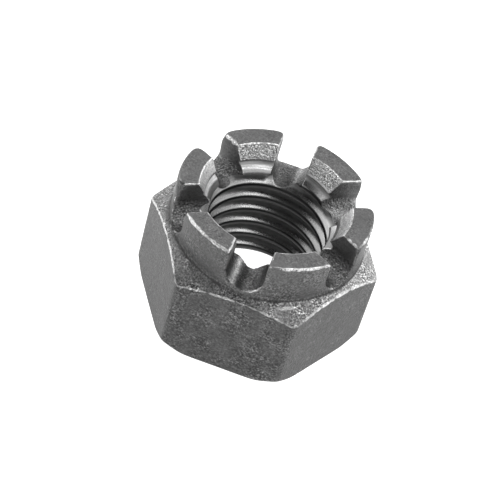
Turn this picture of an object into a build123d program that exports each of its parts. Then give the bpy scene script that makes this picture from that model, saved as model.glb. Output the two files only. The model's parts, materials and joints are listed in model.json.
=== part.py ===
from build123d import *
import math
import os

# Castle nut in plain steel for a 7/8 inch coarse thread: one piece, hot forged,
# then turned, slotted and tapped. The bearing face lies on z = 0 and the bore
# runs up the Z axis. Two corners of the hexagon lie on the X axis, and a slot
# stands over the middle of each flat. Lengths are in millimetres and angles
# in degrees.

# Hexagon
side_count = 6               # flats, and as many slots
across_flats = 33.34
hexagon_height = 15.7        # bearing face to the top cone, at the middle of a flat
hexagon_edge_radius = 0.45
top_cone_angle = 33.0        # fall of the top cone towards the corners
bearing_overhang = 0.78      # bearing circle outside the middle of a flat
base_cone_angle = 32.0       # rise of the base chamfer towards the corners

# Crown
total_height = 23.3
crown_step = 1.0             # crown wall inside the middle of a flat
crown_foot_radius = 0.45     # hollow where the crown stands on the cone
collar_height = 0.55         # unslotted band between the cone and the slot floors
merlon_chamfer = 0.35        # edge break round the top of each merlon

# Slots for the cotter pin, each with a full round floor
slot_width = 6.1
slot_mouth_chamfer = 0.27    # edge break where a slot opens through the crown wall

# Unified coarse thread, right-handed
thread_diameter = 22.225
threads_per_inch = 9
thread_flank_angle = 30.0    # each flank off square to the axis
thread_start_height = -0.09  # middle of the groove on the +X axis
countersink_step = 0.45      # base countersink outside the thread's major radius
countersink_angle = 120.0
lead_in_step = 1.08          # top lead-in cone outside the thread's major radius
lead_in_angle = 65.0

# Heights and radii that follow from them
flat_radius = across_flats / 2
corner_radius = flat_radius / math.cos(math.pi / side_count)
bearing_radius = flat_radius + bearing_overhang
crown_radius = flat_radius - crown_step

top_slope = math.tan(math.radians(top_cone_angle))
base_slope = math.tan(math.radians(base_cone_angle))
base_chamfer_height = (corner_radius - bearing_radius) * base_slope
corner_height = hexagon_height - (corner_radius - flat_radius) * top_slope
crown_foot_height = hexagon_height + crown_step * top_slope
crown_foot_rise = crown_foot_radius * math.tan(math.radians(90 - top_cone_angle) / 2)

slot_floor_height = crown_foot_height + collar_height
slot_centre_height = slot_floor_height + slot_width / 2
slot_mouth_ease = min(slot_mouth_chamfer, 0.9 * (collar_height - crown_foot_rise))

thread_pitch = IN / threads_per_inch
sharp_thread_depth = thread_pitch * math.sqrt(3) / 2
bore_radius = thread_diameter / 2 - sharp_thread_depth * 5 / 8
groove_root_width = thread_pitch / 8
groove_overlap = thread_pitch / 10  # reach of the groove cutter into the bore
groove_mouth_width = groove_root_width + 2 * math.tan(math.radians(thread_flank_angle)) * (
    thread_diameter / 2 - bore_radius + groove_overlap
)
groove_start = thread_start_height - thread_pitch
groove_length = total_height + 2 * thread_pitch
countersink_radius = thread_diameter / 2 + countersink_step
countersink_depth = (countersink_radius - bore_radius) / math.tan(
    math.radians(countersink_angle / 2)
)
lead_in_radius = thread_diameter / 2 + lead_in_step
lead_in_depth = (lead_in_radius - bore_radius) / math.tan(math.radians(lead_in_angle / 2))

# Slot cutter: a round-floored channel that runs out from the bore's axis along +X
with BuildPart() as slot_cutter:
    with BuildSketch(Plane.YZ):
        with Locations((0, slot_centre_height)):
            Circle(slot_width / 2)
            Rectangle(slot_width, total_height, align=(Align.CENTER, Align.MIN))
    extrude(amount=corner_radius)

# Tap: a core as wide as the bore, and a groove cutter that climbs round it past both faces
with BuildPart() as tap:
    with BuildLine():
        Helix(thread_pitch, groove_length, bore_radius, center=(0, 0, groove_start))
    with BuildSketch(Plane.XZ):
        with BuildLine():
            Polyline(
                (bore_radius - groove_overlap, groove_start - groove_mouth_width / 2),
                (thread_diameter / 2, groove_start - groove_root_width / 2),
                (thread_diameter / 2, groove_start + groove_root_width / 2),
                (bore_radius - groove_overlap, groove_start + groove_mouth_width / 2),
                close=True,
            )
        make_face()
    sweep(is_frenet=True)
    with Locations((0, 0, groove_start - thread_pitch)):
        Cylinder(
            bore_radius,
            groove_length + 2 * thread_pitch,
            align=(Align.CENTER, Align.CENTER, Align.MIN),
        )

# Castle nut
with BuildPart() as castle_nut:
    # Hexagonal blank, its upright edges rounded
    with BuildSketch() as blank:
        RegularPolygon(flat_radius, side_count, major_radius=False)
        fillet(blank.vertices(), hexagon_edge_radius)
    extrude(amount=total_height)

    # Turned section: base chamfer, top cone, crown, and the bore with its lead-ins
    with BuildSketch(Plane.YZ) as section:
        with BuildLine():
            Polyline(
                (bore_radius, countersink_depth),
                (countersink_radius, 0),
                (bearing_radius, 0),
                (corner_radius, base_chamfer_height),
                (corner_radius, corner_height),
                (crown_radius, crown_foot_height),
                (crown_radius, total_height),
                (lead_in_radius, total_height),
                (bore_radius, total_height - lead_in_depth),
                close=True,
            )
        make_face()
        crown_foot = section.vertices().sort_by_distance((crown_radius, crown_foot_height))[0]
        fillet(crown_foot, crown_foot_radius)
    revolve(axis=Axis.Z, mode=Mode.INTERSECT)

    # Thread, cut before the slots that cross it
    add(tap.part, mode=Mode.SUBTRACT)

    # Slots, one over the middle of each flat
    with PolarLocations(0, side_count, start_angle=180 / side_count):
        add(slot_cutter.part, mode=Mode.SUBTRACT)

    # Edge break round the merlon tops, apart from the rim of the lead-in cone
    merlon_tops = castle_nut.faces().filter_by(Plane.XY).group_by(Axis.Z)[-1]
    lead_in_rims = merlon_tops.edges().filter_by(GeomType.CIRCLE).group_by(
        lambda edge: round(edge.radius, 3)
    )[0]
    chamfer(merlon_tops.edges() - lead_in_rims, merlon_chamfer)

    # Edge break round the slot mouths: the crown wall's edges that outrise its collar
    crown_wall = castle_nut.faces().filter_by(GeomType.CYLINDER).sort_by(
        lambda face: face.radius
    )[-1]
    slot_mouths = crown_wall.edges().filter_by(
        lambda edge: edge.bounding_box().size.Z > collar_height
    )
    chamfer(slot_mouths, slot_mouth_ease)

castle_nut.part.label = "castle_nut"
os.makedirs("parts", exist_ok=True)
export_step(castle_nut.part, "parts/castle_nut.step")
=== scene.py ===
"""Castle nut in forged and machined steel: shape, finish, light and camera.

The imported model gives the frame. The nut that shows is one piece, grown from a
signed distance that Geometry Nodes evaluate: a hexagonal blank under a forged
cone, a slotted crown and a tapped bore. The finish reads the same distances.
"""

import json
import logging
import math
from dataclasses import dataclass, field, fields
from enum import Enum
from typing import ClassVar, Iterable, Mapping, Union

import bpy
from mathutils import Matrix, Vector


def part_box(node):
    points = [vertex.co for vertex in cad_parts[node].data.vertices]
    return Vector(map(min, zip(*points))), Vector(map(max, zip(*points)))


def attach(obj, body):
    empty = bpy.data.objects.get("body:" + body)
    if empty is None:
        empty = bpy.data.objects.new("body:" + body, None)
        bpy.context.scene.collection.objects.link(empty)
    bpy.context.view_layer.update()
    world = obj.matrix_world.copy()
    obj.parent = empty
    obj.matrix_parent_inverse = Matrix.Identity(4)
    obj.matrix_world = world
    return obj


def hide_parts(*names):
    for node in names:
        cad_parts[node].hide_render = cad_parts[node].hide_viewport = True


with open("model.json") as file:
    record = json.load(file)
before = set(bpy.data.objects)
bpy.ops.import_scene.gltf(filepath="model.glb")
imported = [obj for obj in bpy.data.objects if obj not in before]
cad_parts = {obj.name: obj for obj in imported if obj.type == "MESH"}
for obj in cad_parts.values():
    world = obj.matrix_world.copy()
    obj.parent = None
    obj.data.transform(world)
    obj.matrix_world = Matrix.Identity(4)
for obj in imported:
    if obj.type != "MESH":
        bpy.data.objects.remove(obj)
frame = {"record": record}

LOG = logging.getLogger("castle_nut")
MM = 0.001
INCH = 25.4
NODE = "castle_nut"
BODY = "root"
FLATS = 6
SECTOR = math.tau / FLATS

Number = Union["Term", float]
Value = Union["Term", bpy.types.NodeSocket, bpy.types.ID, float, Iterable[float]]
Setting = Union[str, bool, bpy.types.NodeTree]
Span = tuple[float, float]
Triple = tuple[float, float, float]
Layer = tuple["Term", "Finish"]


class Surface(Enum):
    """A surface of the nut that a distance is measured from."""

    FLAT = "flat"
    UPRIGHT = "upright"
    CONE = "cone"
    SLOT = "slot"
    WALL = "wall"
    BORE = "bore"
    LEAD_IN = "lead-in"
    TOP = "top"


# The mesh notes its distance from these surfaces, and the finish works out the others
NOTED = (Surface.FLAT, Surface.UPRIGHT, Surface.CONE, Surface.SLOT, Surface.WALL, Surface.BORE)


def add_node(
    tree: bpy.types.NodeTree,
    kind: str,
    inputs: Mapping[Union[int, str], Value] | None = None,
    **settings: Setting,
) -> bpy.types.Node:
    """Add a node to a tree, with its settings, values and links.

    Args:
        tree: The node tree that takes the node.
        kind: The node's type name.
        inputs: Socket name or number, to a socket, a term or a plain value.
        **settings: Properties of the node, such as its operation.

    Returns:
        The new node.
    """
    node = tree.nodes.new(kind)
    for name, value in settings.items():
        setattr(node, name, value)
    for key, value in (inputs or {}).items():
        source = value.socket if isinstance(value, Term) else value
        if isinstance(source, bpy.types.NodeSocket):
            tree.links.new(source, node.inputs[key])
        else:
            node.inputs[key].default_value = source
    return node


class Term:
    """A number in a node tree, on which arithmetic adds Math nodes."""

    def __init__(self, tree: bpy.types.NodeTree, socket: bpy.types.NodeSocket) -> None:
        """Wrap a socket of a tree."""
        self.tree = tree
        self.socket = socket

    def math(self, operation: str, *others: Number, clamp: bool = False) -> "Term":
        """Add a Math node that starts from this term.

        Args:
            operation: The Math node's operation.
            *others: The node's further inputs.
            clamp: Whether the result is kept between 0 and 1.

        Returns:
            The node's result.
        """
        inputs = dict(enumerate((self, *others)))
        node = add_node(self.tree, "ShaderNodeMath", inputs, operation=operation, use_clamp=clamp)
        return Term(self.tree, node.outputs[0])

    def __add__(self, other: Number) -> "Term":
        """Sum."""
        return self.math("ADD", other)

    __radd__ = __add__

    def __sub__(self, other: Number) -> "Term":
        """Difference."""
        return self.math("SUBTRACT", other)

    def __rsub__(self, other: float) -> "Term":
        """Difference from a plain number."""
        return self.math("MULTIPLY_ADD", -1.0, other)

    def __mul__(self, other: Number) -> "Term":
        """Product."""
        return self.math("MULTIPLY", other)

    __rmul__ = __mul__

    def __truediv__(self, other: Number) -> "Term":
        """Quotient."""
        return self.math("DIVIDE", other)

    def __neg__(self) -> "Term":
        """Negative."""
        return self.math("MULTIPLY", -1.0)

    def __abs__(self) -> "Term":
        """Size without its sign."""
        return self.math("ABSOLUTE")

    def hypot(self, other: "Term") -> "Term":
        """Length of the vector of two terms."""
        return self.math("MULTIPLY", self).math("ADD", other * other).math("SQRT")

    def ramp(self, low: Number, high: Number) -> "Term":
        """Smooth step on this term.

        Args:
            low: Where the step is 0.
            high: Where it is 1, which may also be the smaller one.

        Returns:
            The step, from 0 to 1.
        """
        node = add_node(
            self.tree,
            "ShaderNodeMapRange",
            {"Value": self, "From Min": low, "From Max": high},
            interpolation_type="SMOOTHSTEP",
        )
        return Term(self.tree, node.outputs[0])


def smooth_max(first: Term, second: Number, soft: Number) -> Term:
    """Larger of two distances, with the convex edge between them eased."""
    return first.math("SMOOTH_MAX", second, soft)


def smooth_min(first: Term, second: Number, soft: Number) -> Term:
    """Smaller of two distances, with the hollow edge between them eased."""
    return first.math("SMOOTH_MIN", second, soft)


def fold(angle: Term) -> Term:
    """Angle from the middle of the nearest flat, for an angle round the axis."""
    return ((angle / SECTOR).math("FRACT") - 0.5) * SECTOR


def outside_cone(radius: Term, depth: Term, mouth: Number, angle: float) -> Term:
    """Measure from a cone that narrows into the nut from one of its faces.

    Args:
        radius: Distance from the axis.
        depth: Depth under the face.
        mouth: Radius of the cone at the face.
        angle: Its side off the axis, in degrees.

    Returns:
        Distance outside it.
    """
    slope = math.radians(angle)
    return (radius - mouth) * math.cos(slope) + depth * math.sin(slope)


@dataclass(frozen=True)
class Pattern:
    """A pattern of noise.

    Attributes:
        size: Size of its waves in millimetres.
        detail: Octaves of finer waves.
        roughness: How strong the finer waves are.
    """

    size: float
    detail: float = 1.0
    roughness: float = 0.5

    def at(self, tree: bpy.types.NodeTree, place: bpy.types.NodeSocket, unit: float = MM) -> Term:
        """Measure the pattern at a place.

        Args:
            tree: The tree that takes the nodes.
            place: The coordinates to measure at.
            unit: What a millimetre is in those coordinates.

        Returns:
            The pattern there, from -1 to 1.
        """
        node = add_node(
            tree,
            "ShaderNodeTexNoise",
            {"Vector": place, "Scale": 1.0 / (self.size * unit), "Detail": self.detail,
             "Roughness": self.roughness},
        )
        return (Term(tree, node.outputs[0]) - 0.5) * 2.0


@dataclass(frozen=True)
class SlotCut:
    """How one slot differs from the plain one, in millimetres.

    Attributes:
        shift: How far it stands off the middle of its flat, counter-clockwise.
        widen: How much wider it is.
        deepen: How much lower its floor is.
        fall: Slope of its floor down to the crown wall, as a share.
        lean: Slope of its floor down to its counter-clockwise side, as a share.
        lips: Easing of its floor where it opens through the crown wall, on its
            clockwise and on its other side.
        corners: Easing of the upright edges over them.
    """

    shift: float = 0.0
    widen: float = 0.0
    deepen: float = 0.0
    fall: float = 0.03
    lean: float = 0.0
    lips: tuple[float, float] = (0.6, 0.6)
    corners: tuple[float, float] = (2.0, 2.0)


@dataclass
class NutSizes:
    """Sizes of the nut in millimetres and degrees.

    Attributes:
        across_flats: Width across the flats.
        total_height: Height of the crown over the bearing face.
        bore_radius: Minor radius of the thread.
        slot_centre: Height of the axis of a slot's half-round floor.
        hexagon_height: Height of the cone at the middle of a flat.
        top_cone_angle: Fall of the forged cone towards the corners.
        bearing_radius: Radius of the bearing face.
        base_cone_angle: Rise of the base chamfer towards the corners.
        crown_radius: Radius of the crown's wall.
        crown_behind: How far the crown was turned off the axis, towards +Y.
        slot_width: Width of a plain slot.
        thread_pitch: Pitch of the thread.
        thread_radius: Major radius of the thread.
        thread_flank_angle: Each flank off square to the axis.
        thread_start: Turns of the thread from a crest to the bearing face, over +X.
        countersink_radius: Radius of the base countersink at the bearing face.
        countersink_angle: Its side off the axis.
        lead_in_radius: Radius of the lead-in cone at the crown's top.
        lead_in_angle: Its side off the axis.
        slots: The slots, counter-clockwise from the one 30 degrees past +X.
    """

    across_flats: float
    total_height: float
    bore_radius: float
    slot_centre: float
    hexagon_height: float = 15.7
    top_cone_angle: float = 33.0
    bearing_radius: float = 17.6
    base_cone_angle: float = 42.0
    crown_radius: float = 15.67
    crown_behind: float = 0.15
    slot_width: float = 6.1
    thread_pitch: float = INCH / 9
    thread_radius: float = 7 / 8 * INCH / 2
    thread_flank_angle: float = 30.0
    thread_start: float = 0.53
    countersink_radius: float = 11.56
    countersink_angle: float = 60.0
    lead_in_radius: float = 12.19
    lead_in_angle: float = 32.5
    slots: tuple[SlotCut, ...] = (
        SlotCut(shift=0.2, widen=-0.5, lips=(1.2, 1.2), corners=(1.3, 0.7)),
        SlotCut(shift=-0.05, widen=-0.6, deepen=0.4, lean=0.24, lips=(1.6, 1.6), corners=(0.8, 1.0)),
        SlotCut(shift=-0.07, widen=-0.75, lips=(1.8, 1.8), corners=(1.3, 1.3)),
        SlotCut(shift=-0.15, widen=-0.3, deepen=-0.15, corners=(1.8, 0.5)),
        SlotCut(shift=-0.1, widen=-0.05, fall=0.0, lean=0.03, lips=(1.1, 0.5), corners=(0.8, 0.4)),
        SlotCut(lips=(0.5, 0.4), corners=(0.4, 0.6)),
    )

    @classmethod
    def from_frame(cls) -> "NutSizes":
        """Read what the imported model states: its box, its thread and its slots.

        Returns:
            The nut's sizes.
        """
        low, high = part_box(NODE)
        mounts = {mount["name"]: mount for mount in frame["record"]["mounts"]}
        return cls(
            across_flats=(high[1] - low[1]) / MM,
            total_height=high[2] / MM,
            bore_radius=mounts["thread"]["dims"]["r_mm"],
            slot_centre=mounts["cotter_slots"]["pos_m"][2] / MM,
        )

    @property
    def slot_floor(self) -> float:
        """Height of a plain slot's floor."""
        return self.slot_centre - self.slot_width / 2


@dataclass(frozen=True)
class EdgeSizes:
    """Easing of the nut's edges and its unevenness, in millimetres.

    Attributes:
        upright: Easing of the hexagon's upright edges.
        cone_edge: Easing between the flats and the forged cone.
        base_edge: Easing of the base chamfer's edges.
        crown_rim: Easing round the merlon tops.
        crown_foot: Hollow where the crown stands on the cone.
        cut_edge: Easing where a tool cut into the bore or the body.
        thread_root: Easing of the thread's roots.
        thread_crest: Easing of its crests.
        slot_relief: How far the body under the crown stays back from the slots.
        face_drop: How much every other flat's cone lies lower or higher.
        cone_tilt: How much the cone lies lower at +X and higher at -X.
        forge_dents: Depth of the forging's broad dents.
        forge_skin: Depth of its fine ones.
        slot_tear: Depth of the tears in a slot's floor.
    """

    upright: float = 1.1
    cone_edge: float = 0.35
    base_edge: float = 0.4
    crown_rim: float = 0.7
    crown_foot: float = 0.7
    cut_edge: float = 0.16
    thread_root: float = 0.40
    thread_crest: float = 0.38
    slot_relief: float = 0.25
    face_drop: float = 0.44
    cone_tilt: float = 0.19
    forge_dents: float = 0.035
    forge_skin: float = 0.0175
    slot_tear: float = 0.03


class NutField:
    """Signed distances of the nut's surfaces, for its shape and for its finish.

    The solid is where the distance is negative. Lengths are in metres.
    """

    DENTS = Pattern(5.0)
    SKIN = Pattern(0.9)
    TEARS = Pattern(0.7)
    # Heights from the axis of a slot's floor: where its tears start and are full, and
    # where the easing of its lip starts and ends to turn into its corner's
    TEAR_HEIGHT = (0.3 * MM, -1.2 * MM)
    LIP_HEIGHT = (-1.5 * MM, 1.5 * MM)
    # Height from the crown's top: where the easing of a corner starts to grow and is double
    CORNER_HEIGHT = (-1.8 * MM, 0.0)
    # Half of a groove's mouth, as a share of the pitch: the crests take a quarter of it
    GROOVE_MOUTH = 3 / 8

    def __init__(self, tree: bpy.types.NodeTree, position: bpy.types.NodeSocket,
                 size: Mapping[str, Number], sizes: NutSizes) -> None:
        """Build the distances that the others share.

        Args:
            tree: The tree that takes the nodes.
            position: The point to measure from.
            size: Every size by name, in metres, apart from shares and turns.
            sizes: The nut's sizes, for its angles and how its slots differ.
        """
        self.tree = tree
        self.size = size
        self.sizes = sizes
        self.position = position
        split = add_node(tree, "ShaderNodeSeparateXYZ", {0: position})
        self.x, self.y, self.z = (Term(tree, socket) for socket in split.outputs)
        self.radius = self.x.hypot(self.y)
        self.angle = self.y.math("ARCTAN2", self.x)
        folded = fold(self.angle)
        self.lateral = self.radius * folded.math("SINE")
        self.facing = self.radius * folded.math("COSINE")
        self.beside = self.radius * (SECTOR - abs(folded)).math("COSINE")

    def pick(self, values: list[float], unit: float = MM) -> Term:
        """Pick the value of the part of a turn that the point is in.

        Args:
            values: One value for each of the equal parts.
            unit: What one of them is in metres, or 1 for shares.

        Returns:
            The value in metres, or the share.
        """
        node = add_node(self.tree, "GeometryNodeIndexSwitch", data_type="FLOAT")
        while len(node.index_switch_items) < len(values):
            node.index_switch_items.new()
        turn = (self.angle / math.tau).math("FRACT") * len(values)
        self.tree.links.new(turn.math("FLOOR").socket, node.inputs[0])
        for number, value in enumerate(values):
            node.inputs[number + 1].default_value = value * unit
        return Term(self.tree, node.outputs[0])

    def wall(self) -> Term:
        """Distance outside the crown's round wall, which was turned a little off the axis."""
        s = self.size
        return self.x.hypot(self.y - s["crown_behind"]) - s["crown_radius"]

    def hexagon(self) -> Term:
        """Distance outside the six flats."""
        s = self.size
        return smooth_max(self.facing, self.beside, s["upright"]) - s["across_flats"] * 0.5

    def cone(self) -> Term:
        """Measure from the forged cone, which sits unevenly from flat to flat.

        Returns:
            Distance above it.
        """
        s = self.size
        waves = (self.angle * (FLATS / 2)).math("SINE") * s["face_drop"]
        tilt = self.x / self.radius * s["cone_tilt"]
        slope = math.radians(self.sizes.top_cone_angle)
        rise = self.z - s["hexagon_height"] + waves + tilt
        outside = self.radius - s["across_flats"] * 0.5
        return (rise + outside * math.tan(slope)) * math.cos(slope)

    def base(self) -> Term:
        """Measure from the chamfer and the bearing face.

        Returns:
            Distance below them.
        """
        s = self.size
        slope = math.radians(self.sizes.base_cone_angle)
        chamfer = (self.radius - s["bearing_radius"]) * math.sin(slope) - self.z * math.cos(slope)
        return smooth_max(chamfer, -self.z, s["base_edge"])

    def slot(self) -> Term:
        """Measure from the nearest slot, which has a half-round floor.

        Returns:
            Distance outside it.
        """
        s = self.size
        slots = self.sizes.slots
        widen = self.pick([slot.widen for slot in slots])
        width = s["slot_width"] + widen
        across = self.lateral - self.pick([slot.shift for slot in slots])
        fall = (self.facing - s["crown_radius"]) * self.pick([slot.fall for slot in slots], 1.0)
        fall += across * self.pick([slot.lean for slot in slots], 1.0)
        fall += self.pick([slot.deepen for slot in slots]) - widen * 0.5
        height = self.z - s["slot_centre"]
        below = (height + fall).math("MINIMUM", 0.0)
        torn = self.TEARS.at(self.tree, self.position) * s["slot_tear"] * height.ramp(*self.TEAR_HEIGHT)
        return across.hypot(below) - width * 0.5 + torn

    def crown(self, slot: Term, wall: Term) -> Term:
        """Measure from the slotted crown.

        Args:
            slot: Distance outside the nearest slot.
            wall: Distance outside the crown's wall.

        Returns:
            Distance outside the crown.
        """
        s = self.size
        height = self.z - s["total_height"]
        up = (self.z - s["slot_centre"]).ramp(*self.LIP_HEIGHT)
        lip = self.pick([side for slot in self.sizes.slots for side in slot.lips])
        corner = self.pick([side for slot in self.sizes.slots for side in slot.corners])
        corner = corner * (height.ramp(*self.CORNER_HEIGHT) + 1.0)
        plan = smooth_max(wall, -slot, lip + up * (corner - lip))
        return smooth_max(plan, height, s["crown_rim"])

    def thread(self) -> Term:
        """Measure from the tapped bore: grooves that climb round its minor radius.

        Returns:
            Distance outside it.
        """
        s = self.size
        turns = self.z / s["thread_pitch"] - self.angle / math.tau + s["thread_start"]
        axial = abs(turns.math("FRACT") - 0.5) * s["thread_pitch"]
        inside = self.radius - s["bore_radius"]
        slope = math.radians(self.sizes.thread_flank_angle)
        flank = (axial - s["thread_pitch"] * self.GROOVE_MOUTH) * math.cos(slope) + inside * math.sin(slope)
        groove = smooth_max(flank, self.radius - s["thread_radius"], s["thread_root"])
        return smooth_min(inside, groove, s["thread_crest"])

    def lead_in(self) -> Term:
        """Distance outside the cone at the bore's top."""
        depth, mouth = self.size["total_height"] - self.z, self.size["lead_in_radius"]
        return outside_cone(self.radius, depth, mouth, self.sizes.lead_in_angle)

    def countersink(self) -> Term:
        """Distance outside the cone at the bore's base."""
        mouth = self.size["countersink_radius"]
        return outside_cone(self.radius, self.z, mouth, self.sizes.countersink_angle)

    def bore(self) -> Term:
        """Measure from the bore with its thread and both cones.

        Returns:
            Distance outside it.
        """
        s = self.size
        bore = smooth_min(self.thread(), self.lead_in(), s["cut_edge"])
        return smooth_min(bore, self.countersink(), s["cut_edge"])

    def nut(self, slot: Term, wall: Term, bore: Term, cone: Term) -> Term:
        """Measure from the finished nut.

        Args:
            slot: Distance outside the nearest slot.
            wall: Distance outside the crown's wall.
            bore: Distance outside the bore.
            cone: Distance above the forged cone.

        Returns:
            Distance outside the nut.
        """
        s = self.size
        skin = self.DENTS.at(self.tree, self.position) * s["forge_dents"]
        skin += self.SKIN.at(self.tree, self.position) * s["forge_skin"]
        body = smooth_max(self.hexagon() + skin, cone + skin, s["cone_edge"])
        body = smooth_max(body, s["slot_relief"] - slot, s["cut_edge"])
        solid = smooth_min(body, self.crown(slot, wall), s["crown_foot"])
        solid = smooth_max(solid, self.base(), s["base_edge"])
        return smooth_max(solid, -bore, s["cut_edge"])


@dataclass
class CastleNut:
    """The nut: one solid piece of steel. Its lengths are in millimetres.

    Attributes:
        size: The nut's sizes.
        edge: The easing of its edges.
        voxel: Width of the voxels that it is grown in.
        margin: Room round it in the grid of voxels.
        triangles: The most triangles that its mesh may have.
        seatings: How often the grown mesh is seated before it is thinned.
        most: The furthest that a vertex moves when it is seated.
        near: Reach of the four points that tell a vertex its way out.
        wide: Reach of the four points that tell it its normal.
        least_slope: Square of the flattest slope that a vertex is moved by.
    """

    CORNERS: ClassVar = ((1, -1, -1), (-1, -1, 1), (-1, 1, -1), (1, 1, 1))

    size: NutSizes
    edge: EdgeSizes = field(default_factory=EdgeSizes)
    voxel: float = 0.15
    margin: float = 0.5
    triangles: int = 194_000
    seatings: int = 2
    most: float = 0.1
    near: float = 0.02
    wide: float = 0.05
    least_slope: float = 0.3

    def lengths(self) -> dict[str, float]:
        """List every size that the trees take.

        Returns:
            The sizes by name, in metres, apart from shares and turns.
        """
        plain = {"thread_start"}
        named = {}
        for source in (self.size, self.edge):
            for item in fields(source):
                value = getattr(source, item.name)
                if isinstance(value, float) and not item.name.endswith("angle"):
                    named[item.name] = value if item.name in plain else value * MM
        return named

    def distance_group(self) -> bpy.types.NodeTree:
        """Make the node group that measures the distances from the nut and its surfaces.

        Returns:
            The group.
        """
        group = bpy.data.node_groups.new("castle nut distance", "GeometryNodeTree")
        group.interface.new_socket("Position", in_out="INPUT", socket_type="NodeSocketVector")
        for name in self.lengths():
            group.interface.new_socket(name, in_out="INPUT", socket_type="NodeSocketFloat")
        for name in ("Distance", *(surface.value for surface in NOTED)):
            group.interface.new_socket(name, in_out="OUTPUT", socket_type="NodeSocketFloat")
        entry = add_node(group, "NodeGroupInput")
        size = {name: Term(group, entry.outputs[name]) for name in self.lengths()}
        shape = NutField(group, entry.outputs["Position"], size, self.size)
        slot, wall, bore, cone = shape.slot(), shape.wall(), shape.bore(), shape.cone()
        outputs = {
            "Distance": shape.nut(slot, wall, bore, cone),
            Surface.FLAT.value: shape.hexagon(),
            Surface.UPRIGHT.value: shape.facing - shape.beside,
            Surface.CONE.value: cone,
            Surface.SLOT.value: slot,
            Surface.WALL.value: wall,
            Surface.BORE.value: bore,
        }
        add_node(group, "NodeGroupOutput", outputs)
        return group

    def tree(self, title: str) -> tuple[bpy.types.NodeTree, bpy.types.Node]:
        """Start a modifier's tree, with a geometry and the nut's sizes as its inputs.

        Args:
            title: The tree's name.

        Returns:
            The tree and its input node.
        """
        tree = bpy.data.node_groups.new(title, "GeometryNodeTree")
        geometry = "NodeSocketGeometry"
        tree.interface.new_socket("Geometry", in_out="INPUT", socket_type=geometry)
        for name in self.lengths():
            tree.interface.new_socket(name, in_out="INPUT", socket_type="NodeSocketFloat")
        tree.interface.new_socket("Geometry", in_out="OUTPUT", socket_type=geometry)
        return tree, add_node(tree, "NodeGroupInput")

    def measure(self, tree: bpy.types.NodeTree, entry: bpy.types.Node,
                group: bpy.types.NodeTree, offset: Iterable[float] = (0, 0, 0)) -> bpy.types.Node:
        """Measure the distances at each point of a tree, or beside it.

        Args:
            tree: The tree that asks.
            entry: Its input node, with the sizes.
            group: The distance group.
            offset: How far beside the point to measure, in metres.

        Returns:
            The node with the distances.
        """
        here = add_node(tree, "GeometryNodeInputPosition").outputs[0]
        beside = add_node(tree, "ShaderNodeVectorMath", {0: here, 1: tuple(offset)})
        node = add_node(tree, "GeometryNodeGroup", node_tree=group)
        tree.links.new(beside.outputs[0], node.inputs["Position"])
        for name in self.lengths():
            tree.links.new(entry.outputs[name], node.inputs[name])
        return node

    def close(self, tree: bpy.types.NodeTree, geometry: bpy.types.NodeSocket,
              material: bpy.types.Material) -> None:
        """End a tree with a real mesh in its material.

        Args:
            tree: The tree to end.
            geometry: What the tree has made.
            material: What the nut is made of.
        """
        real = add_node(tree, "GeometryNodeRealizeInstances", {0: geometry})
        coated = add_node(tree, "GeometryNodeSetMaterial",
                          {"Geometry": real.outputs[0], "Material": material})
        add_node(tree, "NodeGroupOutput", {0: coated.outputs[0]})

    def growth_tree(self, group: bpy.types.NodeTree,
                    material: bpy.types.Material) -> bpy.types.NodeTree:
        """Make the tree that fills a grid of voxels with the distance and skins it.

        Args:
            group: The distance group.
            material: What the nut is made of.

        Returns:
            The tree.
        """
        tree, entry = self.tree("grow the nut")
        low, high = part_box(NODE)
        low = [value - self.margin * MM for value in low]
        high = [value + self.margin * MM for value in high]
        counts = [round((b - a) / (self.voxel * MM)) for a, b in zip(low, high)]
        distance = Term(tree, self.measure(tree, entry, group).outputs["Distance"])
        cube = add_node(
            tree,
            "GeometryNodeVolumeCube",
            {"Density": 1.0 - distance / MM, "Min": low, "Max": high, "Resolution X": counts[0],
             "Resolution Y": counts[1], "Resolution Z": counts[2]},
        )
        skin = add_node(tree, "GeometryNodeVolumeToMesh", {"Volume": cube.outputs[0], "Threshold": 1.0})
        self.close(tree, skin.outputs[0], material)
        return tree

    def slope(self, tree: bpy.types.NodeTree, entry: bpy.types.Node,
              group: bpy.types.NodeTree, reach: float) -> tuple[Term, bpy.types.NodeSocket]:
        """Measure the distance and the way out of the surface from four points round each.

        Args:
            tree: The tree that asks.
            entry: Its input node.
            group: The distance group.
            reach: How far out the four points stand along each axis, in metres.

        Returns:
            The mean distance, and the distance's slope as a vector.
        """
        total, slope = None, None
        for corner in self.CORNERS:
            node = self.measure(tree, entry, group, [reach * c for c in corner])
            value = Term(tree, node.outputs["Distance"])
            share = {0: corner, "Scale": value / (len(self.CORNERS) * reach)}
            part = add_node(tree, "ShaderNodeVectorMath", share, operation="SCALE").outputs[0]
            total = value if total is None else total + value
            if slope is not None:
                part = add_node(tree, "ShaderNodeVectorMath", {0: slope, 1: part}).outputs[0]
            slope = part
        return total / len(self.CORNERS), slope

    def seat(self, tree: bpy.types.NodeTree, entry: bpy.types.Node, group: bpy.types.NodeTree,
             geometry: bpy.types.NodeSocket) -> bpy.types.NodeSocket:
        """Move each vertex of a mesh onto the true surface.

        Args:
            tree: The tree that holds the mesh.
            entry: Its input node.
            group: The distance group.
            geometry: The mesh.

        Returns:
            The seated mesh.
        """
        most = self.most * MM
        distance, slope = self.slope(tree, entry, group, self.near * MM)
        steep = add_node(tree, "ShaderNodeVectorMath", {0: slope, 1: slope}, operation="DOT_PRODUCT")
        short = distance.math("MINIMUM", most).math("MAXIMUM", -most)
        back = -(short / Term(tree, steep.outputs["Value"]).math("MAXIMUM", self.least_slope))
        step = add_node(tree, "ShaderNodeVectorMath", {0: slope, "Scale": back}, operation="SCALE")
        moved = add_node(tree, "GeometryNodeSetPosition", {"Geometry": geometry, "Offset": step.outputs[0]})
        return moved.outputs[0]

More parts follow.
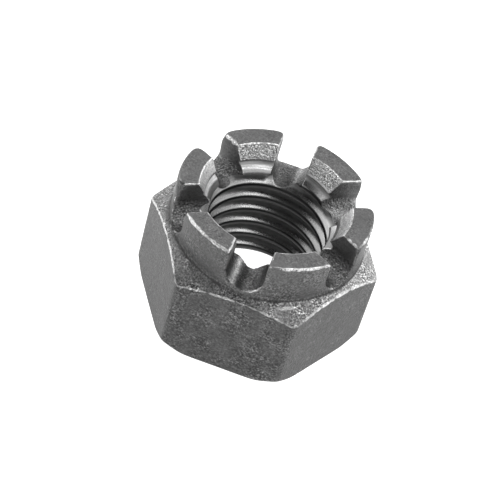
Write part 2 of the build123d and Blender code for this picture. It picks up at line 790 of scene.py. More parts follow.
    def seating_tree(self, group: bpy.types.NodeTree,
                     material: bpy.types.Material) -> bpy.types.NodeTree:
        """Make the tree that seats the mesh on the true surface before it is thinned.

        Args:
            group: The distance group.
            material: What the nut is made of.

        Returns:
            The tree.
        """
        tree, entry = self.tree("seat the mesh")
        geometry = entry.outputs["Geometry"]
        for _ in range(self.seatings):
            geometry = self.seat(tree, entry, group, geometry)
        self.close(tree, geometry, material)
        return tree

    def finishing_tree(self, group: bpy.types.NodeTree,
                       material: bpy.types.Material) -> bpy.types.NodeTree:
        """Make the tree that seats the thinned mesh and notes what the finish reads.

        The mesh keeps how far each vertex is from the nut's surfaces, in millimetres.

        Args:
            group: The distance group.
            material: What the nut is made of.

        Returns:
            The tree.
        """
        tree, entry = self.tree("finish the mesh")
        geometry = self.seat(tree, entry, group, entry.outputs["Geometry"])
        here = self.measure(tree, entry, group)
        for surface in NOTED:
            value = Term(tree, here.outputs[surface.value]) / MM
            note = add_node(tree, "GeometryNodeStoreNamedAttribute",
                            {"Geometry": geometry, "Name": surface.value, "Value": value})
            geometry = note.outputs[0]
        _, fine = self.slope(tree, entry, group, self.wide * MM)
        smooth = add_node(tree, "GeometryNodeSetShadeSmooth", {"Geometry": geometry})
        normal = add_node(tree, "GeometryNodeSetMeshNormal", mode="FREE")
        tree.links.new(smooth.outputs[0], normal.inputs["Mesh"])
        tree.links.new(fine, normal.inputs["Custom Normal"])
        self.close(tree, normal.outputs[0], material)
        return tree

    def modify(self, piece: bpy.types.Object, tree: bpy.types.NodeTree) -> None:
        """Add a Geometry Nodes modifier to a piece, with the nut's sizes set.

        Args:
            piece: The piece.
            tree: The modifier's tree.
        """
        modifier = piece.modifiers.new(tree.name, "NODES")
        modifier.node_group = tree
        lengths = self.lengths()
        for item in tree.interface.items_tree:
            if item.in_out == "INPUT" and item.name in lengths:
                modifier[item.identifier] = lengths[item.name]

    def settle(self, piece: bpy.types.Object) -> None:
        """Turn a piece's modifiers into a plain mesh and remove them.

        Args:
            piece: The piece.
        """
        evaluated = piece.evaluated_get(bpy.context.evaluated_depsgraph_get())
        mesh = bpy.data.meshes.new_from_object(evaluated)
        piece.modifiers.clear()
        piece.data = mesh

    def build(self, material: bpy.types.Material) -> bpy.types.Object:
        """Build the nut, thinned to its budget of triangles.

        Args:
            material: What the nut is made of.

        Returns:
            The finished piece, on its body and in place of the solid.
        """
        group = self.distance_group()
        piece = bpy.data.objects.new("nut", bpy.data.meshes.new("nut"))
        bpy.context.scene.collection.objects.link(piece)
        self.modify(piece, self.growth_tree(group, material))
        self.modify(piece, self.seating_tree(group, material))
        self.settle(piece)
        LOG.info("grown: %d faces", len(piece.data.polygons))
        corners = sum(len(face.vertices) - 2 for face in piece.data.polygons)
        thin = piece.modifiers.new("thin", "DECIMATE")
        thin.ratio = min(1.0, self.triangles / corners)
        self.modify(piece, self.finishing_tree(group, material))
        self.settle(piece)
        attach(piece, BODY)
        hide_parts(NODE)
        return piece


def linear(colour: str) -> tuple[float, float, float, float]:
    """Turn an sRGB hex colour to linear values with full alpha."""
    parts = [int(colour[i:i + 2], 16) / 255 for i in (1, 3, 5)]
    return tuple(p / 12.92 if p <= 0.04045 else ((p + 0.055) / 1.055) ** 2.4 for p in parts) + (1.0,)


@dataclass(frozen=True)
class Finish:
    """How one kind of surface was left by its making.

    Attributes:
        tone: Its colour, in sRGB hex.
        roughness: Its roughness.
        blotch: How much broad patches vary the tone, as a share.
        grain: How much the fine grain varies the tone, as a share.
        speck: Share of the surface where bare metal shows in small specks.
        depth: Depth of its grain in millimetres.
        streak: How much the cutter's streaks vary the tone, as a share.
    """

    tone: str
    roughness: float
    blotch: float
    grain: float
    speck: float
    depth: float
    streak: float = 0.0

    def vectors(self) -> tuple[Triple, Triple, Triple]:
        """Sort its values into its tone, its gloss and its mottle, which a tree mixes as vectors."""
        gloss = (self.roughness, self.depth, self.streak)
        return linear(self.tone)[:3], gloss, (self.blotch, self.grain, self.speck)


# Forging scale left whole: dark and even, with fine pits
FORGED_FLAT = Finish("#4A4A4A", 0.46, 0.32, 1.05, 0.05, 0.07)
# Thinned scale: coarse, mottled and full of bright specks
FORGED_CONE = Finish("#838383", 0.50, 0.40, 1.55, 0.24, 0.16)
# Painted shade on the cone's front: as coarse, but darker and with fewer specks
CONE_PAINTED_SHADE = Finish("#5E5E5E", 0.50, 0.45, 1.50, 0.18, 0.16)
# Painted light on the cone's right: as coarse, but paler and with more specks
CONE_PAINTED_LIGHT = Finish("#A1A1A1", 0.50, 0.35, 1.45, 0.26, 0.16)
# Turned and darkened: smooth, with a soft sheen
CROWN_WALL = Finish("#575757", 0.42, 0.18, 0.80, 0.01, 0.04)
# Faced: the smoothest and most even of the outside
CROWN_TOP = Finish("#717171", 0.40, 0.18, 0.45, 0.02, 0.018)
# Milled: dull, with faint lines along the slot
SLOT_WALL = Finish("#5F5F5F", 0.50, 0.20, 0.35, 0.02, 0.03, 0.25)
# Painted light: milled slot walls painted paler on the front half of the nut
SLOT_PAINTED_LIGHT = Finish("#858585", 0.50, 0.20, 0.35, 0.02, 0.03, 0.25)
# Milled floor: pitted and mottled
SLOT_FLOOR = Finish("#626262", 0.42, 0.40, 0.90, 0.10, 0.08, 0.30)
# Painted sheen: a pale band in the front and the rear slot, and a paler floor in the slot at the right rear
SLOT_PAINTED_SHEEN = Finish("#B6B6B6", 0.40, 0.45, 0.60, 0.04, 0.04, 0.30)
# Painted shade: a nearly black band in the front and the rear slot
SLOT_PAINTED_SHADE = Finish("#363636", 0.45, 0.30, 0.90, 0.10, 0.06, 0.25)
# Coarsely turned: pale and glittering
LEAD_IN = Finish("#A6A6A6", 0.40, 0.25, 1.15, 0.14, 0.13)
# Painted highlight on the lead-in cone at the left and the right: nearly white, with fine rings
LEAD_IN_HIGHLIGHT = Finish("#EEEEEE", 0.36, 0.20, 0.45, 0.00, 0.03, 0.10)
# Painted highlight: a pale and glossy band on the thread's top turn at the left and the right, and along the
# lead-in cone's lower end
THREAD_LEDGE_HIGHLIGHT = Finish("#B8B8B8", 0.32, 0.15, 0.15, 0.00, 0.01, 0.20)
# Tapped, with a film of oil: glossy, in a middle tone
THREAD_FLANK = Finish("#757575", 0.28, 0.15, 0.06, 0.00, 0.004, 0.22)
# Bored before tapping, and left dark
THREAD_CREST = Finish("#393939", 0.36, 0.15, 0.06, 0.00, 0.004, 0.22)
# Thread roots: dull, and painted a little paler than the flanks, as painted light in their shade
THREAD_ROOT_PAINTED_LIGHT = Finish("#8C8C8C", 0.60, 0.15, 0.06, 0.00, 0.004, 0.20)
# Scale knocked off an edge: bare metal that catches the light
WORN_EDGE = Finish("#C6C6C6", 0.34, 0.20, 0.70, 0.00, 0.05)
# Painted shade: a dark line in the crease at the crown's foot
CREASE_SHADE = Finish("#414141", 0.55, 0.20, 0.40, 0.00, 0.01)


@dataclass(frozen=True)
class Side:
    """Part of the nut that lies to one side of its axis.

    Attributes:
        toward: Way from the axis to its middle, in degrees counter-clockwise from +X.
        reach: How far to either side of that it goes, in degrees.
    """

    toward: float
    reach: float


@dataclass(frozen=True)
class SteelPatterns:
    """Patterns in the steel.

    The grain and the specks of forging scale are about 0.1 mm wide, and a cutter's
    lines lie about as close. That is too fine to show in the render, so the grain is
    drawn about three times, the specks four times and the lines four to ten times as
    coarse.

    Attributes:
        blotch: Scale that is thicker in one place than in another.
        grain: Grain of the scale.
        speck: Bare specks in it.
        patch: Stretches that wear has reached, or pits have.
        ragged: Notches along the rim of a worn edge.
        streak: Lines that a cutter leaves, with their width in a slot.
        bore_crowd: How much closer the lines lie in the bore than in a slot.
        bore_change: Change of the lines round the bore, in millimetres a radian.
        slot_draw: Width of a slot's lines as a share of their length.
        slot_apart: How far apart in the noise two slots' lines are, in millimetres.
    """

    blotch: Pattern = Pattern(2.6, 3.0, 0.6)
    grain: Pattern = Pattern(0.29, 2.0, 0.6)
    speck: Pattern = Pattern(0.40, 1.0, 0.6)
    patch: Pattern = Pattern(3.2, 1.0, 0.6)
    ragged: Pattern = Pattern(0.9, 1.0, 0.6)
    streak: Pattern = Pattern(1.1, 3.0, 0.6)
    bore_crowd: float = 2.5
    bore_change: float = 2.0
    slot_draw: float = 0.12
    slot_apart: float = 7.3


class SteelPoint:
    """Where a shaded point lies on the nut, in millimetres, and how the steel varies there."""

    # Distance outside a slot or the bore where its finish starts and is full
    CUT_RIM = (0.16, 0.06)
    # Upward part of the normal where the cone's finish starts and is full
    CONE_NORMAL = (0.45, 0.7)
    # Share of a side's reach that its mask takes to become full
    SIDE_EASE = 0.8

    def __init__(self, tree: bpy.types.NodeTree, sizes: NutSizes, patterns: SteelPatterns) -> None:
        """Build what the finishes share.

        Args:
            tree: The material's tree.
            sizes: The nut's sizes.
            patterns: The steel's patterns.
        """
        self.tree = tree
        self.sizes = sizes
        here = add_node(tree, "ShaderNodeTexCoord").outputs["Object"]
        split = add_node(tree, "ShaderNodeSeparateXYZ", {0: here})
        self.x, self.y, self.z = (Term(tree, socket) / MM for socket in split.outputs)
        self.radius = self.x.hypot(self.y)
        self.rightward = self.x / self.radius
        self.rearward = self.y / self.radius
        self.away = self.distances()
        self.blotch = patterns.blotch.at(tree, here)
        self.grain = patterns.grain.at(tree, here)
        self.speck = patterns.speck.at(tree, here)
        self.patch = patterns.patch.at(tree, here)
        self.ragged = patterns.ragged.at(tree, here)
        self.in_bore = self.away[Surface.BORE].ramp(*self.CUT_RIM)
        self.in_slot = self.away[Surface.SLOT].ramp(*self.CUT_RIM)
        normal = add_node(tree, "ShaderNodeNewGeometry").outputs["Normal"]
        upward = add_node(tree, "ShaderNodeSeparateXYZ", {0: normal}).outputs[2]
        self.on_cone = Term(tree, upward).ramp(*self.CONE_NORMAL)
        angle = self.y.math("ARCTAN2", self.x)
        folded = fold(angle)
        self.lateral = self.radius * folded.math("SINE")
        self.streak = self.streaks(patterns, angle, self.radius * folded.math("COSINE"))

    def distances(self) -> dict[Surface, Term]:
        """Read the distances that the mesh noted, and work out the others.

        Returns:
            The distance from each surface.
        """
        away = {}
        for surface in NOTED:
            node = add_node(self.tree, "ShaderNodeAttribute", attribute_name=surface.value)
            away[surface] = Term(self.tree, node.outputs["Fac"])
        depth, mouth = self.sizes.total_height - self.z, self.sizes.lead_in_radius
        away[Surface.LEAD_IN] = outside_cone(self.radius, depth, mouth, self.sizes.lead_in_angle)
        away[Surface.TOP] = self.z - self.sizes.total_height
        return away

    def streaks(self, patterns: SteelPatterns, angle: Term, facing: Term) -> Term:
        """Measure the lines that cutters leave, round the bore and out along a slot.

        Args:
            patterns: The steel's patterns.
            angle: Angle round the axis, in radians.
            facing: Distance from the axis along the middle of the nearest slot.

        Returns:
            The lines, from -1 to 1.
        """
        pitch = self.sizes.thread_pitch
        climb = (self.z / pitch - angle / math.tau).math("FRACT") * pitch
        around = {0: climb * patterns.bore_crowd, 1: self.radius * patterns.bore_crowd,
                  2: angle * patterns.bore_change}
        apart = (angle / SECTOR).math("FLOOR") * patterns.slot_apart
        along = {0: self.lateral, 1: self.z + apart, 2: facing * patterns.slot_draw}
        places = [add_node(self.tree, "ShaderNodeCombineXYZ", place) for place in (along, around)]
        drawn = add_node(self.tree, "ShaderNodeMix",
                         {0: self.in_bore, 4: places[0].outputs[0], 5: places[1].outputs[0]},
                         data_type="VECTOR")
        return patterns.streak.at(self.tree, drawn.outputs[1], 1.0)

    def side(self, side: Side) -> Term:
        """Mask a side of the nut.

        Args:
            side: The side.

        Returns:
            Its mask, eased towards its middle.
        """
        way, limit = math.radians(side.toward), math.cos(math.radians(side.reach))
        along = (self.x * math.cos(way) + self.y * math.sin(way)) / self.radius
        return along.ramp(limit, limit + (1.0 - limit) * self.SIDE_EASE)


@dataclass(frozen=True)
class ConeFinish:
    """Finish of the forged cone, with painted shade on its front and painted light on its right.

    Attributes:
        scaled: The side painted darker, as painted shade.
        rubbed: The side painted paler, as painted light.
    """

    # The cone is painted darker on its front and paler on its right: painted shade and painted light
    scaled: Side = Side(258.0, 32.0)
    rubbed: Side = Side(352.0, 36.0)

    def layers(self, point: SteelPoint) -> list[Layer]:
        """Lay the cone's finishes over each other.

        Args:
            point: The shaded point.

        Returns:
            Masks and finishes, from the lowest.
        """
        return [
            (point.on_cone, FORGED_CONE),
            # Painted shade on the front, then painted light on the right, over the forged cone
            (point.on_cone * point.side(self.scaled), CONE_PAINTED_SHADE),
            (point.on_cone * point.side(self.rubbed), CONE_PAINTED_LIGHT),
        ]


@dataclass(frozen=True)
class CrownFinish:
    """Finish of the crown's wall and of the merlon tops.

    A span says where a mask starts and where it is full, in millimetres.

    Attributes:
        outside: Distance outside the wall.
        above: Height over the slot floors.
        top: Height over the crown's top.
        scaled: The side where the wall kept its scale.
    """

    outside: Span = (0.9, 0.5)
    above: Span = (-0.6, -0.3)
    top: Span = (-0.22, -0.1)
    scaled: Side = Side(350.0, 30.0)

    def layers(self, point: SteelPoint) -> list[Layer]:
        """Lay the crown's finishes over each other.

        Args:
            point: The shaded point.

        Returns:
            Masks and finishes, from the lowest.
        """
        above = (point.z - point.sizes.slot_floor).ramp(*self.above)
        wall = point.away[Surface.WALL].ramp(*self.outside) * above
        return [
            (wall, CROWN_WALL),
            (wall * point.side(self.scaled), FORGED_FLAT),
            (point.away[Surface.TOP].ramp(*self.top), CROWN_TOP),
        ]


@dataclass(frozen=True)
class SlotFinish:
    """Finish of the slots, with a band of painted shade and one of painted sheen in the front and the rear
    one.

    A span says where a mask starts and where it is full, in millimetres unless it is
    a share of the radius.

    Attributes:
        floor: Height over the axis of a floor where the floor's finish is.
        floor_blur: How far the grain moves that height.
        brushed: The side where the slots are painted paler, as painted light.
        shiny: The side where a floor is painted paler, as painted sheen.
        shine: How strongly it is.
        bands: Height over the axis of a floor where the bands are.
        ends: Distance to the front or the rear where they are, as a share.
        rear: How strong they are in the rear slot, with the front one as 1.
        swing: How much further clockwise they are in front, and less far behind.
        dark_aside: How far clockwise of the slot's middle the band of painted shade is.
        dark: Distance from its middle.
        dark_blur: How far blotches move that.
        pale_aside: How far clockwise of the slot's middle the band of painted sheen is.
        pale: Distance from its middle.
        pale_blur: How far blotches move that.
    """

    floor: Span = (0.2, -0.8)
    floor_blur: float = 0.4
    brushed: Side = Side(270.0, 85.0)
    shiny: Side = Side(30.0, 20.0)
    shine: float = 0.2
    bands: Span = (1.5, -0.5)
    ends: Span = (0.9, 0.98)
    rear: float = 0.48
    swing: float = 0.22
    dark_aside: float = 0.38
    dark: Span = (1.1, 0.1)
    dark_blur: float = 0.5
    pale_aside: float = 1.68
    pale: Span = (0.9, 0.0)
    pale_blur: float = 0.6

    def layers(self, point: SteelPoint) -> list[Layer]:
        """Lay the slots' finishes over each other.

        Args:
            point: The shaded point.

        Returns:
            Masks and finishes, from the lowest.
        """
        height = point.z - point.sizes.slot_centre
        floor = point.in_slot * (height + point.grain * self.floor_blur).ramp(*self.floor)
        bands = point.in_slot * height.ramp(*self.bands) * abs(point.rearward).ramp(*self.ends)
        bands = bands * ((1.0 + self.rear) / 2 - point.rearward * ((1.0 - self.rear) / 2))
        aside = point.lateral - point.rearward * self.swing
        dark = abs(aside + self.dark_aside) + point.blotch * self.dark_blur
        pale = abs(aside + self.pale_aside) + point.blotch * self.pale_blur
        return [
            (point.in_slot, SLOT_WALL),
            # Painted light: the slots on the front half painted paler
            (point.in_slot * point.side(self.brushed), SLOT_PAINTED_LIGHT),
            (floor, SLOT_FLOOR),
            # Painted sheen on the floor of the slot at the right rear
            (floor * point.side(self.shiny) * self.shine, SLOT_PAINTED_SHEEN),
            # Painted shade and painted sheen: a dark and a pale band in the front and the rear slot
            (bands * dark.ramp(*self.dark), SLOT_PAINTED_SHADE),
            (bands * pale.ramp(*self.pale), SLOT_PAINTED_SHEEN),
        ]


@dataclass(frozen=True)
class BoreFinish:
    """Finish of the thread and of the lead-in cone, with painted highlights at the left and the right,
    painted light in the roots and painted shade on the last turn.

    A span says where a mask starts and where it is full, in millimetres unless it is
    a share of the radius.

    Attributes:
        root: Depth outside the bore where the roots' finish, with its painted light, is.
        crest: Depth outside the bore where the crests' finish is.
        ledge_ends: Distance to the left or the right where the ledge carries a painted highlight, as a
            share.
        ledge: Height of the ledge.
        lead_in: Distance from the lead-in cone.
        turned_ends: Distance to the left or the right where that cone carries a
        painted highlight, as a share.
        lead_end: Height of the cone's lower end, from the crown's top, where it carries the same painted
            highlight.
        last_end: Distance to the right where the last turn is painted darker with the flanks' finish, as
            painted shade, as a share.
        last_over: Height over which it is.
        last_under: Height under which it is.
        last: How strongly it is.
    """

    root: Span = (0.7, 1.3)
    crest: Span = (0.24, 0.08)
    ledge_ends: Span = (0.86, 0.96)
    ledge: Span = (17.4, 18.6)
    lead_in: Span = (0.14, 0.07)
    turned_ends: Span = (0.8, 0.95)
    lead_end: Span = (-2.2, -2.4)
    last_end: Span = (0.9, 0.97)
    last_over: Span = (18.4, 18.9)
    last_under: Span = (20.6, 20.3)
    last: float = 0.55

    def layers(self, point: SteelPoint) -> list[Layer]:
        """Lay the bore's finishes over each other.

        Args:
            point: The shaded point.

        Returns:
            Masks and finishes, from the lowest.
        """
        bore, z = point.in_bore, point.z
        depth = point.radius - point.sizes.bore_radius
        sideways = abs(point.rightward)
        lead_in = abs(point.away[Surface.LEAD_IN]).ramp(*self.lead_in) * bore
        # Painted shade: the last turn at the right painted darker with the flanks' finish
        last = bore * point.rightward.ramp(*self.last_end) * z.ramp(*self.last_over)
        return [
            (bore, THREAD_FLANK),
            # Painted light: the roots painted paler than the flanks
            (bore * depth.ramp(*self.root), THREAD_ROOT_PAINTED_LIGHT),
            (bore * depth.ramp(*self.crest), THREAD_CREST),
            # Painted highlight on the ledge at the left and the right
            (bore * sideways.ramp(*self.ledge_ends) * z.ramp(*self.ledge), THREAD_LEDGE_HIGHLIGHT),
            (lead_in, LEAD_IN),
            # Painted highlight on the lead-in cone at the left and the right
            (lead_in * sideways.ramp(*self.turned_ends), LEAD_IN_HIGHLIGHT),
            # Painted highlight along the lead-in cone's lower end
            (lead_in * point.away[Surface.TOP].ramp(*self.lead_end), THREAD_LEDGE_HIGHLIGHT),
            # Painted shade over the last turn at the right
            (last * z.ramp(*self.last_under) * self.last, THREAD_FLANK),
        ]


@dataclass(frozen=True)
class EdgeWear:
    """Where two surfaces meet at an edge that wear has changed.

    Attributes:
        first: One surface.
        second: The other surface.
        width: Reach of the wear from the edge, in millimetres.
        share: How much of the edge it covers.
        side: The side of the nut that it is on, or None for all round.
        least: How much of the wear the rest of the edge has.
    """

    # Share of the width where the wear starts and is full, and how much the grain and
    # the ragged notches move that
    RIM: ClassVar[Span] = (1.0, 0.4)
    RIM_GRAIN: ClassVar[float] = 0.5
    RIM_RAGGED: ClassVar[float] = 0.9
    # Least of the patches' noise that is worn at a share of 0, and how much less it is
    # at a share of 1, how far over it the wear is full, and how much the grain moves it
    RARE: ClassVar[float] = 1.1
    COMMON: ClassVar[float] = 2.2
    EASE: ClassVar[float] = 0.3
    PATCH_GRAIN: ClassVar[float] = 0.4

    first: Surface
    second: Surface
    width: float
    share: float
    side: Side | None = None
    least: float = 0.0

    def mask(self, point: SteelPoint) -> Term:
        """Mask the wear.

        Args:
            point: The shaded point.

        Returns:
            Its mask.
        """
        away = abs(point.away[self.first]).math("MAXIMUM", abs(point.away[self.second])) / self.width
        rim = (away + point.grain * self.RIM_GRAIN + point.ragged * self.RIM_RAGGED).ramp(*self.RIM)
        start = self.RARE - self.COMMON * self.share
        worn = (point.patch + point.grain * self.PATCH_GRAIN).ramp(start, start + self.EASE)
        mask = rim * worn.math("MAXIMUM", self.least)
        return mask * point.side(self.side) if self.side else mask


@dataclass(frozen=True)
class EdgeFinish:
    """Finish of the worn edges, of a scuff on the cone and of painted shade in the crease at the crown's
    foot.

    A span says where a mask starts and where it is full, in millimetres.

    Attributes:
        wears: The worn edges.
        scuff_side: The side of the nut that the scuff is on.
        scuff_radius: Distance of the scuff from the axis.
        scuff: Distance from its middle.
        scuff_blur: How far the grain moves that.
        scuffed: How strong it is.
        crease: Distance from the crease, for its painted shade.
        crease_blotch: How far blotches move that.
        crease_grain: How far the grain moves it.
    """

    wears: tuple[EdgeWear, ...] = (
        EdgeWear(Surface.FLAT, Surface.CONE, 0.18, 0.42, least=0.45),
        EdgeWear(Surface.FLAT, Surface.CONE, 0.22, 0.90, Side(200.0, 50.0), 0.3),
        EdgeWear(Surface.FLAT, Surface.CONE, 0.32, 0.80, Side(333.0, 34.0), 0.4),
        EdgeWear(Surface.FLAT, Surface.UPRIGHT, 0.30, 0.22),
        EdgeWear(Surface.WALL, Surface.TOP, 0.42, 0.74, Side(265.0, 80.0), 0.1),
        EdgeWear(Surface.WALL, Surface.TOP, 0.36, 0.80, Side(347.0, 18.0)),
        EdgeWear(Surface.SLOT, Surface.TOP, 0.32, 0.72),
        EdgeWear(Surface.SLOT, Surface.TOP, 0.52, 0.92, Side(253.0, 15.0)),
        EdgeWear(Surface.SLOT, Surface.TOP, 0.36, 0.85, Side(347.0, 15.0)),
        EdgeWear(Surface.SLOT, Surface.TOP, 0.38, 0.85, Side(47.0, 15.0)),
        EdgeWear(Surface.SLOT, Surface.TOP, 0.52, 0.92, Side(133.0, 15.0)),
        EdgeWear(Surface.LEAD_IN, Surface.TOP, 0.18, 0.60),
        EdgeWear(Surface.LEAD_IN, Surface.SLOT, 0.18, 0.60),
        EdgeWear(Surface.WALL, Surface.SLOT, 0.26, 0.42),
        EdgeWear(Surface.WALL, Surface.SLOT, 0.30, 0.58, Side(273.5, 7.5), 0.2),
    )
    scuff_side: Side = Side(297.0, 6.0)
    scuff_radius: float = 16.45
    scuff: Span = (0.3, 0.1)
    scuff_blur: float = 0.1
    scuffed: float = 0.6
    crease: Span = (0.32, 0.08)
    crease_blotch: float = 0.2
    crease_grain: float = 0.15

    def layers(self, point: SteelPoint) -> list[Layer]:
        """Lay the edges' finishes over each other.

        Args:
            point: The shaded point.

        Returns:
            Masks and finishes, from the lowest.
        """
        across = abs(point.radius - self.scuff_radius) + point.grain * self.scuff_blur
        worn = point.on_cone * point.side(self.scuff_side) * across.ramp(*self.scuff) * self.scuffed
        for wear in self.wears:
            worn = worn.math("MAXIMUM", wear.mask(point))
        # Painted shade: a dark line in the crease at the crown's foot
        foot = abs(point.away[Surface.WALL]).math("MAXIMUM", abs(point.away[Surface.CONE]))
        foot = foot + point.blotch * self.crease_blotch + point.grain * self.crease_grain
        return [(worn, WORN_EDGE), (foot.ramp(*self.crease), CREASE_SHADE)]


@dataclass(frozen=True)
class NutSteel:
    """Medium carbon steel, hot forged, then turned, slotted and tapped.

    The forging scale leaves the outside dark and mottled, cut faces are smoother
    and lighter, and handling has worn the edges bright. Some layers carry painted
    shade, painted light and painted highlights: on the cone, in the slots, in the
    bore and in the crease at the crown's foot.

    Attributes:
        patterns: The patterns in it.
        parts: The finishes of the nut's parts, from the lowest layer.
        blotch_tone: How much a full blotch varies the tone.
        grain_tone: How much a full grain does.
        streak_tone: How much a full streak does.
        pitted: Noise where the grain's least and most pitted patches are.
        least_pitted: How strong the grain is in the least pitted ones.
        speck_rare: Least of the specks' noise that is bare at a share of 0.
        speck_common: How much less it is at a share of 1.
        speck_ease: How far over that a speck is full.
        bare: How much of a speck's bare metal shows through.
        bare_tone: Colour of bare metal, in sRGB hex.
        blotch_gloss: How much blotches change the roughness.
        grain_gloss: How much the grain changes it.
        fine_depth: Depth of specks and blotches, as a share of the grain's.
    """

    patterns: SteelPatterns = SteelPatterns()
    parts: tuple[ConeFinish | CrownFinish | SlotFinish | BoreFinish | EdgeFinish, ...] = (
        ConeFinish(), CrownFinish(), SlotFinish(), BoreFinish(), EdgeFinish())
    blotch_tone: float = 1.6
    grain_tone: float = 1.8
    streak_tone: float = 2.4
    pitted: Span = (-0.35, 0.35)
    least_pitted: float = 0.5
    speck_rare: float = 0.75
    speck_common: float = 1.6
    speck_ease: float = 0.25
    bare: float = 0.8
    bare_tone: str = "#CFCFCD"
    blotch_gloss: float = 0.05
    grain_gloss: float = 0.06
    fine_depth: float = 0.5

    def build(self, sizes: NutSizes) -> bpy.types.Material:
        """Build the material.

        Args:
            sizes: The nut's sizes, for where each finish lies.

        Returns:
            The material.
        """
        material = bpy.data.materials.new("steel_forged_and_machined")
        material.use_nodes = True
        tree = material.node_tree
        point = SteelPoint(tree, sizes, self.patterns)
        mixed = FORGED_FLAT.vectors()
        for mask, finish in (layer for part in self.parts for layer in part.layers(point)):
            mixed = [
                add_node(tree, "ShaderNodeMix", {0: mask, 4: low, 5: high}, data_type="VECTOR").outputs[1]
                for low, high in zip(mixed, finish.vectors())
            ]
        tone, *others = mixed
        (rough, deep, drawn), (blotched, grained, specked) = (
            [Term(tree, socket) for socket in add_node(tree, "ShaderNodeSeparateXYZ", {0: other}).outputs]
            for other in others
        )
        pits = point.patch.ramp(*self.pitted) + self.least_pitted
        vary = blotched * point.blotch * self.blotch_tone + grained * point.grain * pits * self.grain_tone
        vary = (vary + drawn * point.streak * self.streak_tone).math("EXPONENT")
        scaled = add_node(tree, "ShaderNodeVectorMath", {0: tone, "Scale": vary}, operation="SCALE")
        least = self.speck_rare - specked * self.speck_common
        bare = point.speck.ramp(least, least + self.speck_ease) * self.bare
        colour = add_node(tree, "ShaderNodeMix",
                          {0: bare, 4: scaled.outputs[0], 5: linear(self.bare_tone)[:3]},
                          data_type="VECTOR")
        rough = rough + point.blotch * self.blotch_gloss + point.grain * self.grain_gloss
        height = (point.grain + point.speck * self.fine_depth + point.blotch * self.fine_depth) * deep
        bump = add_node(tree, "ShaderNodeBump", {"Height": height * MM, "Distance": 1.0, "Strength": 1.0})
        shader = tree.nodes["Principled BSDF"]
        shader.inputs["Metallic"].default_value = 1.0
        tree.links.new(colour.outputs[1], shader.inputs["Base Color"])
        tree.links.new(rough.math("ADD", 0.0, clamp=True).socket, shader.inputs["Roughness"])
        tree.links.new(bump.outputs[0], shader.inputs["Normal"])
        return material


@dataclass(frozen=True)
class ProductCamera:
    """The photograph's camera.

    Attributes:
        azimuth: Its way round the nut, in degrees counter-clockwise from -Y.
        elevation: Its angle above the floor, in degrees.
        roll: How far it is turned counter-clockwise on its own axis, in degrees.
        distance: Its distance from the target, in millimetres.
        focal_px: Its focal length in pixels.
        aside_px: How far the target is to the right of the frame's middle, in pixels.
        below_px: How far the target is below it, in pixels.
        target_height: Height of the target on the nut's axis, in millimetres.
        frame_px: Width of the frame in pixels.
        sensor: Width of the sensor in millimetres.
        nearest: Nearest thing that it shows, in metres.
    """

    azimuth: float = 4.3697
    elevation: float = 43.8016
    roll: float = 16.6595
    distance: float = 279.83
    focal_px: float = 1752.2
    aside_px: float = 10.1895
    below_px: float = 0.9842
    target_height: float = 11.113
    frame_px: float = 500.0
    sensor: float = 36.0
    nearest: float = 0.01

    def place(self) -> bpy.types.Object:
        """Make the camera and make it the scene's.

        Returns:
            The camera.
        """
        a, e, r = (math.radians(v) for v in (self.azimuth, self.elevation, self.roll))
        back = Vector((math.sin(a) * math.cos(e), -math.cos(a) * math.cos(e), math.sin(e)))
        right = Vector((math.cos(a), math.sin(a), 0.0))
        up = back.cross(right)
        across = right * math.cos(r) + up * math.sin(r)
        upward = up * math.cos(r) - right * math.sin(r)
        target = Vector((0.0, 0.0, self.target_height))
        scale = self.distance / self.focal_px
        centre = target + back * self.distance - across * (self.aside_px * scale)
        centre += upward * (self.below_px * scale)
        data = bpy.data.cameras.new("camera")
        data.sensor_width = self.sensor
        data.lens = self.focal_px / self.frame_px * self.sensor
        data.clip_start = self.nearest
        camera = bpy.data.objects.new("camera", data)
        rotation = Matrix((across, upward, back)).transposed().to_4x4()
        camera.matrix_world = Matrix.Translation(centre * MM) @ rotation
        bpy.context.scene.collection.objects.link(camera)
        bpy.context.scene.camera = camera
        return camera


@dataclass(frozen=True)
class Softbox:
    """A square softbox: its name, where it hangs, its size in metres and its radiance."""

    name: str
    place: Triple
    size: float
    radiance: float

    def hang(self) -> None:
        """Hang the softbox so that it faces the nut."""
        light = bpy.data.lights.new(self.name, "AREA")
        light.shape = "SQUARE"
        light.size = self.size
        light.energy = self.radiance * math.pi * self.size ** 2
        lamp = bpy.data.objects.new(self.name, light)
        place = Vector(self.place)
        rotation = place.to_track_quat("Z", "Y").to_matrix().to_4x4()
        lamp.matrix_world = Matrix.Translation(place) @ rotation
        bpy.context.scene.collection.objects.link(lamp)


@dataclass(frozen=True)
class OpalSheet:
    """Opal acrylic sheet, matt and lit from below: a white ground that takes a faint shadow.

    Attributes:
        tone: Its colour, in sRGB hex.
        roughness: Its roughness.
        glow: Radiance that it gives by itself.
        size: Its side in metres.
    """

    tone: str = "#BCBCBC"
    roughness: float = 0.9
    glow: float = 1.1
    size: float = 6.0

    def lay(self) -> bpy.types.Object:
        """Lay the sheet under the nut.

        Returns:
            The sheet.
        """
        half = self.size / 2
        corners = [(-half, -half, 0), (half, -half, 0), (half, half, 0), (-half, half, 0)]
        mesh = bpy.data.meshes.new("floor")
        mesh.from_pydata(corners, [], [(0, 1, 2, 3)])
        material = bpy.data.materials.new("acrylic_sheet_white")
        material.use_nodes = True
        shader = material.node_tree.nodes["Principled BSDF"]
        shader.inputs["Base Color"].default_value = linear(self.tone)
        shader.inputs["Roughness"].default_value = self.roughness
        shader.inputs["Specular IOR Level"].default_value = 0.0
        shader.inputs["Emission Color"].default_value = (1.0, 1.0, 1.0, 1.0)
        shader.inputs["Emission Strength"].default_value = self.glow
        mesh.materials.append(material)
        floor = bpy.data.objects.new("floor", mesh)
        bpy.context.scene.collection.objects.link(floor)
        return floor


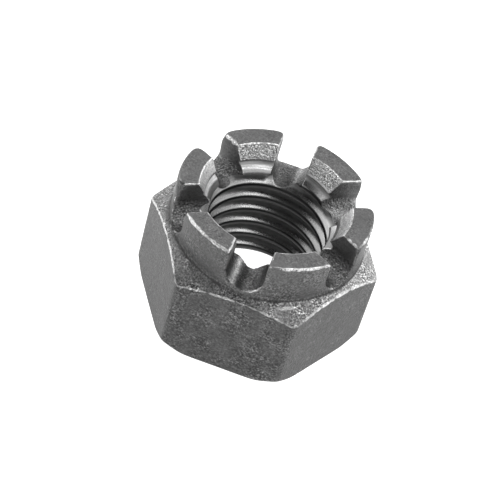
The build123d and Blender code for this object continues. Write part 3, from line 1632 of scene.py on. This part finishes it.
@dataclass(frozen=True)
class Studio:
    """A white sheet under softboxes, in a pale room with a dark ceiling.

    Attributes:
        room: Radiance of the walls.
        ceiling: Radiance of the ceiling.
        ceiling_way: Way to the middle of the ceiling, which leans over the camera.
        ceiling_span: Cosines of the angles where the ceiling starts and is darkest.
        sheet: The sheet that the nut lies on.
        boxes: The softboxes.
    """

    room: float = 1.0
    ceiling: float = 0.1
    ceiling_way: Triple = (-0.30, -0.28, 0.91)
    ceiling_span: Span = (0.62, 0.95)
    sheet: OpalSheet = OpalSheet()
    boxes: tuple[Softbox, ...] = (
        Softbox("right overhead", (0.39, -0.08, 0.92), 0.28, 9.0),
        Softbox("right", (0.68, 0.28, 0.68), 0.60, 1.8),
        Softbox("left rear", (-0.67, 0.20, 0.71), 0.58, 3.6),
    )

    def paint_room(self) -> None:
        """Paint the world: pale all round, and darker over the camera."""
        world = bpy.data.worlds.new("room")
        bpy.context.scene.world = world
        world.use_nodes = True
        tree = world.node_tree
        way = add_node(tree, "ShaderNodeTexCoord").outputs["Generated"]
        over = add_node(tree, "ShaderNodeVectorMath", {0: way, 1: self.ceiling_way}, operation="DOT_PRODUCT")
        shade = Term(tree, over.outputs["Value"]).ramp(*self.ceiling_span)
        glow = self.room - shade * (self.room - self.ceiling)
        background = tree.nodes["Background"]
        background.inputs["Color"].default_value = (1.0, 1.0, 1.0, 1.0)
        tree.links.new(glow.socket, background.inputs["Strength"])

    def build(self) -> bpy.types.Object:
        """Set up the room, the softboxes and the sheet.

        Returns:
            The sheet.
        """
        bpy.context.scene.view_settings.view_transform = "Standard"
        self.paint_room()
        for box in self.boxes:
            box.hang()
        return self.sheet.lay()


def main() -> None:
    """Build the nut, its light and its camera."""
    logging.basicConfig(level=logging.INFO, format="%(message)s")
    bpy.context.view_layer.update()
    camera = ProductCamera().place()
    LOG.info("camera: %.0f mm lens", camera.data.lens)
    studio = Studio()
    floor = studio.build()
    LOG.info("studio: %s and %d softboxes", floor.name, len(studio.boxes))
    castle_nut = CastleNut(NutSizes.from_frame())
    nut = castle_nut.build(NutSteel().build(castle_nut.size))
    LOG.info("%s: %d faces", nut.name, len(nut.data.polygons))


if __name__ == "__main__":
    main()
